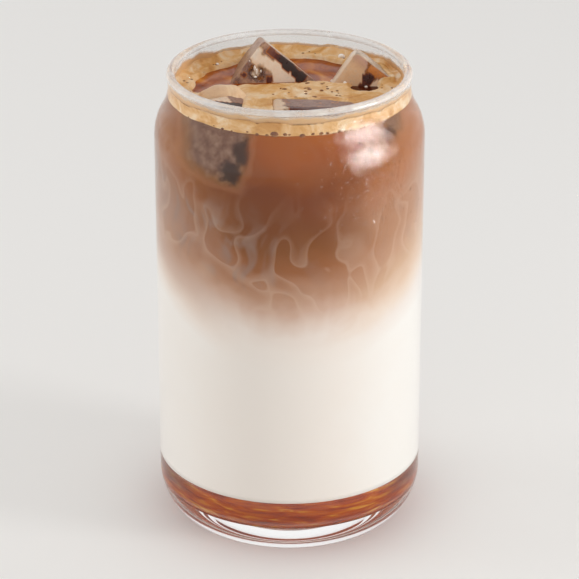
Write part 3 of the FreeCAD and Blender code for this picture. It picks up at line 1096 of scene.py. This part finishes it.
cut_hollows(crema)
cut_hollows(coffee)
bpy.ops.object.shade_smooth_by_angle(angle=math.radians(40))
for polygon in coffee.data.polygons:
    flat = polygon.normal.z > 0.99 and abs(polygon.center.z - DRINK_TOP) < HAIR
    polygon.material_index = 1 if flat else 0

# %% [markdown]
# Crema is a dense, fine foam of coffee oils: matt, tan to gold, with paler froth where it is thick. Its
# pores are 0.3 to 0.6 mm wide and show as a fine grain.

# %% Foam material
MOUND_PLACE = (-18.4, -7.6, 126.9)


def coffee_foam(tree, here):
    patches = add_node(tree, "TexNoise", here, Scale=1 / 6.5, Detail=4.0, Roughness=0.6, Distortion=0.8)
    ramp = add_node(tree, "ValToRGB", patches)
    fill_ramp(ramp, ((0.3, "#C98A46"), (0.42, "#DDA662"), (0.52, "#EABD86"), (0.62, "#F1D2AA"),
                     (0.76, "#F7E6D0")))
    to_mound = add_node(tree, "VectorMath", here, MOUND_PLACE, operation="DISTANCE")
    pale = add_node(tree, "MapRange", to_mound, From_Min=9.0, From_Max=5.5, To_Max=0.45, **SMOOTH)
    base = add_node(tree, "Mix", pale, ramp, linear("#F2DCC4"), **RGBA)
    pores = add_node(tree, "TexVoronoi", here, Scale=1 / 0.55)
    pore_shade = add_node(tree, "MapRange", pores, From_Max=0.35, To_Min=0.5, To_Max=0.0)
    speckle = add_node(tree, "TexNoise", here, Scale=1 / 2.4)
    where = add_node(tree, "MapRange", speckle, From_Min=0.5, From_Max=0.7)
    dark = add_node(tree, "Math", pore_shade, where, operation="MULTIPLY")
    colour = add_node(tree, "Mix", dark, base, linear("#A8662C"), **RGBA)
    bump = add_node(tree, "Bump", Strength=0.5, Distance=0.15 * MM, Height=pores)
    return add_node(tree, "BsdfPrincipled", Base_Color=colour, Roughness=0.42, IOR=1.33, Normal=bump)


foam_finish = make_material(coffee_foam)
give(crema, foam_finish)

# %% [markdown]
# ## A mound of foam
# Foam has piled up on the back of the left front cube. A sphere is squashed to a low mound and its skin is
# made uneven with soft noise.

# %% Foam mound
MOUND_CENTRE = Vector(MOUND_PLACE) * MM
MOUND_RADII = Vector((7.0, 5.6, 5.0)) * MM

start_fresh()
bpy.ops.mesh.primitive_ico_sphere_add(subdivisions=5, radius=1)
mound = bpy.context.object
mound.name = "foam_mound"
for vertex in mound.data.vertices:
    lump = 1 + 0.09 * noise.noise(vertex.co * 1.9)
    vertex.co = MOUND_CENTRE + Vector([at * size * lump for at, size in zip(vertex.co, MOUND_RADII)])
bpy.ops.object.shade_smooth()
give(mound, foam_finish)
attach(mound, "root")

# %% [markdown]
# ## Bubbles and pinholes
# One small sphere is modelled and copied, flattened and set down many times, then the copies are joined.
# Burst bubbles leave dark pits in the foam, whole ones are clear domes, and a row of them hangs under the
# foam's edge behind the glass. The random places come from a fixed seed, so every run makes the same
# drink.

# %% Copies of one small sphere
def small_spheres(name, places):
    """Joined copies of one sphere; each place is a centre, three radii and an outward direction, in mm."""
    start_fresh()
    bpy.ops.mesh.primitive_ico_sphere_add(subdivisions=2, radius=1)
    first = bpy.context.object
    for centre, radii, outward in places:
        twin = copy_of(first)
        turn = Vector(outward).to_track_quat("Z", "Y").to_matrix().to_4x4()
        size = Matrix.Diagonal((*radii, 1))
        twin.data.transform(Matrix.Scale(MM, 4) @ Matrix.Translation(centre) @ turn @ size)
        twin.select_set(True)
    first.select_set(False)
    bpy.data.objects.remove(first)
    bpy.context.view_layer.objects.active = bpy.context.selected_objects[0]
    bpy.ops.object.join()
    joined = bpy.context.object
    joined.name = name
    bpy.ops.object.shade_smooth()
    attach(joined, "root")
    print(name, len(places), "spheres")
    return joined


# %% [markdown]
# Pits lie in the open foam in front and all round, domes everywhere, and a place is only used where foam
# really lies. A few white beads are listed one by one: painted highlights that stand in for glints of the
# lamps, some of them on white froth, and a few painted glints in the hollow of the back cube.

# %% Pits and domes on the foam
pick = random.Random(11)
UP = (0, 0, 1)


def on_circle(radius, turn):
    """The point at an angle on a circle round the axis."""
    return radius * math.cos(turn), radius * math.sin(turn)


def on_foam(x, y):
    """The point on top of the foam, in mm."""
    return Vector((x, y, DRINK_TOP / MM + foam_height(x, y)))


def foam_is_open(x, y):
    """True where there is foam and no ice."""
    return foam_edge(x, y) > 1.0 and near_ice(x, y, DRINK_TOP / MM + 1.0) > 0.8


pits = []
domes = []
while len(pits) < 26:
    x, y = pick.uniform(-6, 19), pick.uniform(-8, 6)
    if foam_is_open(x, y):
        radius = pick.choice((0.28, 0.36, 0.45, 0.55, 0.7))
        pits.append((on_foam(x, y), (radius, 0.85 * radius, 0.2), UP))
while len(pits) < 60:
    turn = pick.uniform(0, 2 * math.pi)
    radius = pick.uniform(25.5, 30.2)
    x, y = on_circle(radius, turn)
    if foam_is_open(x, y):
        size = pick.uniform(0.2, 0.5)
        pits.append((on_foam(x, y), (size, size, 0.16), UP))
while len(domes) < 90:
    turn = pick.uniform(0, 2 * math.pi)
    radius = 31 * math.sqrt(pick.uniform(0.3, 1))
    x, y = on_circle(radius, turn)
    if foam_is_open(x, y):
        size = pick.uniform(0.25, 0.8)
        domes.append((on_foam(x, y), (size, size, 0.6 * size), UP))
# White beads as painted glints of the lamps, some on white froth.
bright_beads = []
for x, y, size in ((18.0, 24.6, 0.85), (14.8, 25.0, 1.05), (12.0, 8.0, 0.6), (21.3, 3.4, 0.45),
                   (-20.4, 19.0, 0.5), (15.4, 3.8, 0.5)):
    level = max(on_foam(x, y).z, DRINK_TOP / MM) + 0.2 * size
    bright_beads.append((Vector((x, y, level)), (size, 0.9 * size, 0.8 * size), UP))
# Painted glints in the hollow of the back cube.
for across, rise, wide, tall in ((-1.1, 0.7, 0.36, 1.15), (0.0, 0.2, 0.3, 0.9), (0.9, 1.0, 0.24, 0.5),
                                 (0.6, -1.2, 0.5, 0.3), (-3.0, 1.0, 0.45, 0.8)):
    local = Vector((HOLLOW_PLACE[0] + across, -8.75, HOLLOW_PLACE[1] + rise))
    place = ICE_CENTRE["ice_back_left"] / MM + ICE_TURN["ice_back_left"] @ local
    bright_beads.append((place, (wide, wide, tall), UP))

pit_piece = small_spheres("foam_pits", pits)
dome_piece = small_spheres("foam_bubbles", domes)
bright_bead_piece = small_spheres("froth_and_glint_beads", bright_beads)

# %% [markdown]
# Behind the glass the bubbles are pressed flat. The larger ones in front are listed one by one, and smaller
# ones go round the rest of the glass at random.

# %% Bubbles behind the glass, under the foam's edge
BUBBLE_FLAT = 0.12
FRONT_BUBBLES = ((-97, 1.15), (-100.5, 0.5), (-92, 0.6), (-90, 0.35), (-84, 0.8), (-79, 0.45), (-75, 0.6),
                 (-72, 0.5), (-69, 0.35), (-66, 0.55), (-63, 0.4), (-60, 0.3), (-110, 0.35), (-118, 0.3),
                 (-52, 0.35), (-45, 0.3), (-128, 0.25))
hanging = []


def hang(turn, rise, wide, tall):
    """Presses one bubble flat against the glass, rise above the foam's lower edge."""
    level = CREMA_BOTTOM / MM + rise
    radius = (bore_radius(level * MM) + FOAM_INTO_WALL) / MM
    hanging.append((Vector((*on_circle(radius, turn), level)), (wide, tall, BUBBLE_FLAT),
                    (*on_circle(1, turn), 0)))


for turn_deg, size in FRONT_BUBBLES:
    hang(math.radians(turn_deg), 0.25 + 0.5 * pick.random(), size, 0.75 * size)
for turn_deg in range(10, 250, 17):
    turn = math.radians(turn_deg + 9 * pick.random())
    size = pick.uniform(0.25, 0.6)
    hang(turn, 0.3, size, 0.8 * size)
hanging_piece = small_spheres("edge_bubbles", hanging)

# %% [markdown]
# Where the shoulder is coldest, fine drops of condensation stand on the outside: most lie close together,
# and the rest are strewn round them.

# %% Drops of condensation on the cold shoulder
DROPS = 620
CLOSE_DROPS = 430
drops = []
while len(drops) < DROPS:
    close = len(drops) < CLOSE_DROPS
    turn = math.radians(pick.gauss(-53, 7 if close else 16))
    level = pick.gauss(121, 4) if close else pick.gauss(113, 9)
    if 92 < level < 128:
        outward = Vector((math.cos(turn), math.sin(turn), 0.15))
        radius = (bore_radius(level * MM) + WALL) / MM - 0.02
        size = pick.uniform(0.12, 0.34)
        place = Vector((*on_circle(radius, turn), level))
        drops.append((place, (size, size, 0.35 * size), outward))
drop_piece = small_spheres("condensation", drops)

# %% [markdown]
# Clear bubbles and drops are water skins with an IOR of 1.33. Burst bubbles are pits that hold dark
# coffee.

# %% Bubble materials
def water_skin(tree, here):
    shader = add_node(tree, "BsdfPrincipled", Base_Color=linear("#FFFDFA"), Roughness=0.02, IOR=1.33,
                      Transmission_Weight=1.0)
    return lamps_pass(tree, shader)


def coffee_in_pits(tree, here):
    shade = add_node(tree, "TexNoise", here, Scale=1 / 1.5)
    ramp = add_node(tree, "ValToRGB", shade)
    fill_ramp(ramp, ((0.3, "#6B3C1E"), (0.5, "#86502A"), (0.7, "#A5703F")))
    return add_node(tree, "BsdfPrincipled", Base_Color=ramp, Roughness=0.1, IOR=1.33)


def white_froth_and_painted_glints(tree, here):
    """White beads, wet and shiny: painted highlights standing in for glints of the lamps, some of them
    white froth.
    """
    shade = add_node(tree, "TexNoise", here, Scale=1 / 0.9)
    ramp = add_node(tree, "ValToRGB", shade)
    fill_ramp(ramp, ((0.35, "#F2E2D0"), (0.65, "#FFF9F2")))
    return add_node(tree, "BsdfPrincipled", Base_Color=ramp, Roughness=0.15, IOR=1.33)


give(bright_bead_piece, make_material(white_froth_and_painted_glints))
skin_finish = make_material(water_skin)
give(dome_piece, skin_finish)
give(drop_piece, skin_finish)
pit_finish = make_material(coffee_in_pits)
give(pit_piece, pit_finish)
give(hanging_piece, pit_finish)

# %% [markdown]
# ## Film on the neck
# Above the foam the inner wall carries what the pour left: a tan smear with an uneven top, and a white
# breath of condensation up to the lip. It is a closed ring a tenth of a millimetre thick, and its density
# is painted by height and noise.

# %% Neck film
FILM_BOTTOM = 128.8 * MM
FILM_TOP = HEIGHT - 0.7 * MM
FILM_THICKNESS = 0.1 * MM
FILM_BITE = 0.03 * MM


def film_outline():
    """A thin ring along the inner wall of the neck."""
    rows = 10
    levels = [FILM_BOTTOM + (FILM_TOP - FILM_BOTTOM) * k / rows for k in range(rows + 1)]
    outer = [(bore_radius(level) + FILM_BITE, level) for level in levels]
    inner = [(bore_radius(level) + FILM_BITE - FILM_THICKNESS, level) for level in reversed(levels)]
    return outer + inner + outer[:1]


def pour_film_and_breath(tree, here):
    axes = add_node(tree, "SeparateXYZ", here)
    back = add_node(tree, "MapRange", axes.outputs["Y"], From_Min=18.0, From_Max=30.0, To_Max=1.7,
                    **SMOOTH)
    flat = add_node(tree, "VectorMath", here, (1.0, 1.0, 0.3), operation="MULTIPLY")
    uneven = add_node(tree, "TexNoise", flat, Scale=1 / 6.0, Detail=3.0)
    top = add_node(tree, "Math", uneven, 3.0, 130.0, operation="MULTIPLY_ADD")
    lower = add_node(tree, "Math", top, back, operation="SUBTRACT")
    under = add_node(tree, "Math", lower, axes.outputs["Z"], operation="SUBTRACT")
    smear = add_node(tree, "MapRange", under, From_Min=-0.7, From_Max=0.6, **SMOOTH)
    edge = add_node(tree, "MapRange", axes.outputs["Z"], From_Min=FILM_TOP / MM,
                    From_Max=FILM_TOP / MM - 1.0, To_Max=0.12, **SMOOTH)
    alpha = add_node(tree, "Math", smear, 0.72, edge, operation="MULTIPLY_ADD")
    colour = add_node(tree, "Mix", smear, linear("#F4F0EC"), linear("#E8BE8C"), **RGBA)
    return add_node(tree, "BsdfPrincipled", Base_Color=colour, Roughness=0.5, IOR=1.2, Alpha=alpha)


film = lathe("neck_film", film_outline())
film_finish = make_material(pour_film_and_breath)
give(film, film_finish)
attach(film, "root")

# %% [markdown]
# The cold lip carries the same white breath, and the white skin also serves as a painted highlight of the
# rim, so it shows as a pale, soft ring rather than as clear glass. It follows the bead of the lip.

# %% Breath and painted highlight on the lip
LIP_SKIN_THICKNESS = 0.02 * MM


def lip_skin_outline():
    """A thin skin round the bead of the lip."""
    outer = arc_points(LIP_MIDDLE, LIP_RADIUS + LIP_SKIN_THICKNESS, -12, 192, 24)
    inner = arc_points(LIP_MIDDLE, LIP_RADIUS - LIP_SKIN_THICKNESS, 192, -12, 24)
    return outer + inner + outer[:1]


def breath_and_painted_highlight_on_lip(tree, here):
    # Painted highlight: the white skin lightens the rim as well as carrying breath.
    cloud = add_node(tree, "TexNoise", here, Scale=1 / 5.0, Detail=3.0)
    alpha = add_node(tree, "MapRange", cloud, From_Min=0.3, From_Max=0.7, To_Min=0.2, To_Max=0.55)
    return add_node(tree, "BsdfPrincipled", Base_Color=linear("#F8F5F2"), Roughness=0.25, IOR=1.4,
                    Alpha=alpha)


lip_white_skin = lathe("lip_breath_and_painted_highlight", lip_skin_outline())
give(lip_white_skin, make_material(breath_and_painted_highlight_on_lip))
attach(lip_white_skin, "root")

# %% [markdown]
# ## Floor, lamps and room
# A softbox at the right front lights the glass, with a weaker one at the left, and the pale room gives the
# rest. The floor is matt and pale and keeps the glass's shadow. Far from the glass it fades to the white
# of the room, as studio paper that curves up to a wall does, so a low view shows no horizon.

# %% Stage
PAPER_SIZE = 1.8
FADE_START = 0.5
FADE_END = 0.88


def seen_by_eye(tree):
    """1 for the rays that end in the picture: straight ones, mirrored ones and those through glass."""
    path = add_node(tree, "LightPath")
    direct = add_node(tree, "Math", path.outputs["Is Camera Ray"], path.outputs["Is Glossy Ray"],
                      operation="MAXIMUM")
    return add_node(tree, "Math", direct, path.outputs["Is Transmission Ray"], operation="MAXIMUM")


def pale_studio_paper(tree, here):
    """Matt paper that turns to plain white far from the glass."""
    paper = add_node(tree, "BsdfPrincipled", Base_Color=linear("#F7F5F2"), Roughness=0.9, IOR=1.2)
    away = add_node(tree, "VectorMath", here, operation="LENGTH")
    fade = add_node(tree, "MapRange", away, From_Min=FADE_START / MM, From_Max=FADE_END / MM, **SMOOTH)
    share = add_node(tree, "Math", fade, seen_by_eye(tree), operation="MULTIPLY")
    white = add_node(tree, "Emission", Color=linear("#FFFFFF"), Strength=1.0)
    return add_node(tree, "MixShader", share, paper, white)


start_fresh()
bpy.ops.mesh.primitive_plane_add(size=PAPER_SIZE)
floor = bpy.context.object
floor.name = "floor"
give(floor, make_material(pale_studio_paper))
print("floor", PAPER_SIZE, "m wide")

# %% [markdown]
# The key lamp stands at the right front. Just behind it stands a lamp that only mirrors show: it makes the
# bright patch on the fogged shoulder without adding light to the drink. Neither of these two shows through
# the glass as a white square. The room is plain white, and a little weaker where it lights the pieces than
# where it is seen.

# %% Lamps and room
KEY_FROM = (0.92, -0.33, 0.21)
FILL_FROM = (-0.98, 0.12, 0.2)
ROOM_LIGHT = 0.72


def softbox(name, direction, distance, size, power):
    """A square lamp that faces the middle of the glass."""
    toward = Vector(direction).normalized()
    start_fresh()
    bpy.ops.object.light_add(type="AREA", location=aim + toward * distance)
    lamp = bpy.context.object
    lamp.name = name
    lamp.rotation_euler = toward.to_track_quat("Z", "Y").to_euler()
    lamp.data.size = size
    lamp.data.energy = power
    return lamp


key = softbox("key_softbox", KEY_FROM, 0.8, 0.2, 2.1)
key.visible_transmission = False
glint = softbox("glint_softbox", KEY_FROM, 0.82, 0.22, 7.0)
glint.visible_diffuse = False
glint.visible_transmission = False
fill = softbox("fill_softbox", FILL_FROM, 1.1, 0.5, 2.6)
fill.visible_glossy = False
print("lamps", [lamp.name for lamp in (key, glint, fill)])

world = bpy.data.worlds.new("studio_room")
bpy.context.scene.world = world
world.use_nodes = True
room = world.node_tree
room.nodes.clear()
strength = add_node(room, "MapRange", seen_by_eye(room), To_Min=ROOM_LIGHT)
light = add_node(room, "Background", Color=linear("#FFFFFF"), Strength=strength)
add_node(room, "OutputWorld", light)

# %% [markdown]
# ## Finish
# The view transform is plain.

# %% Finish
bpy.context.scene.view_settings.view_transform = "Standard"
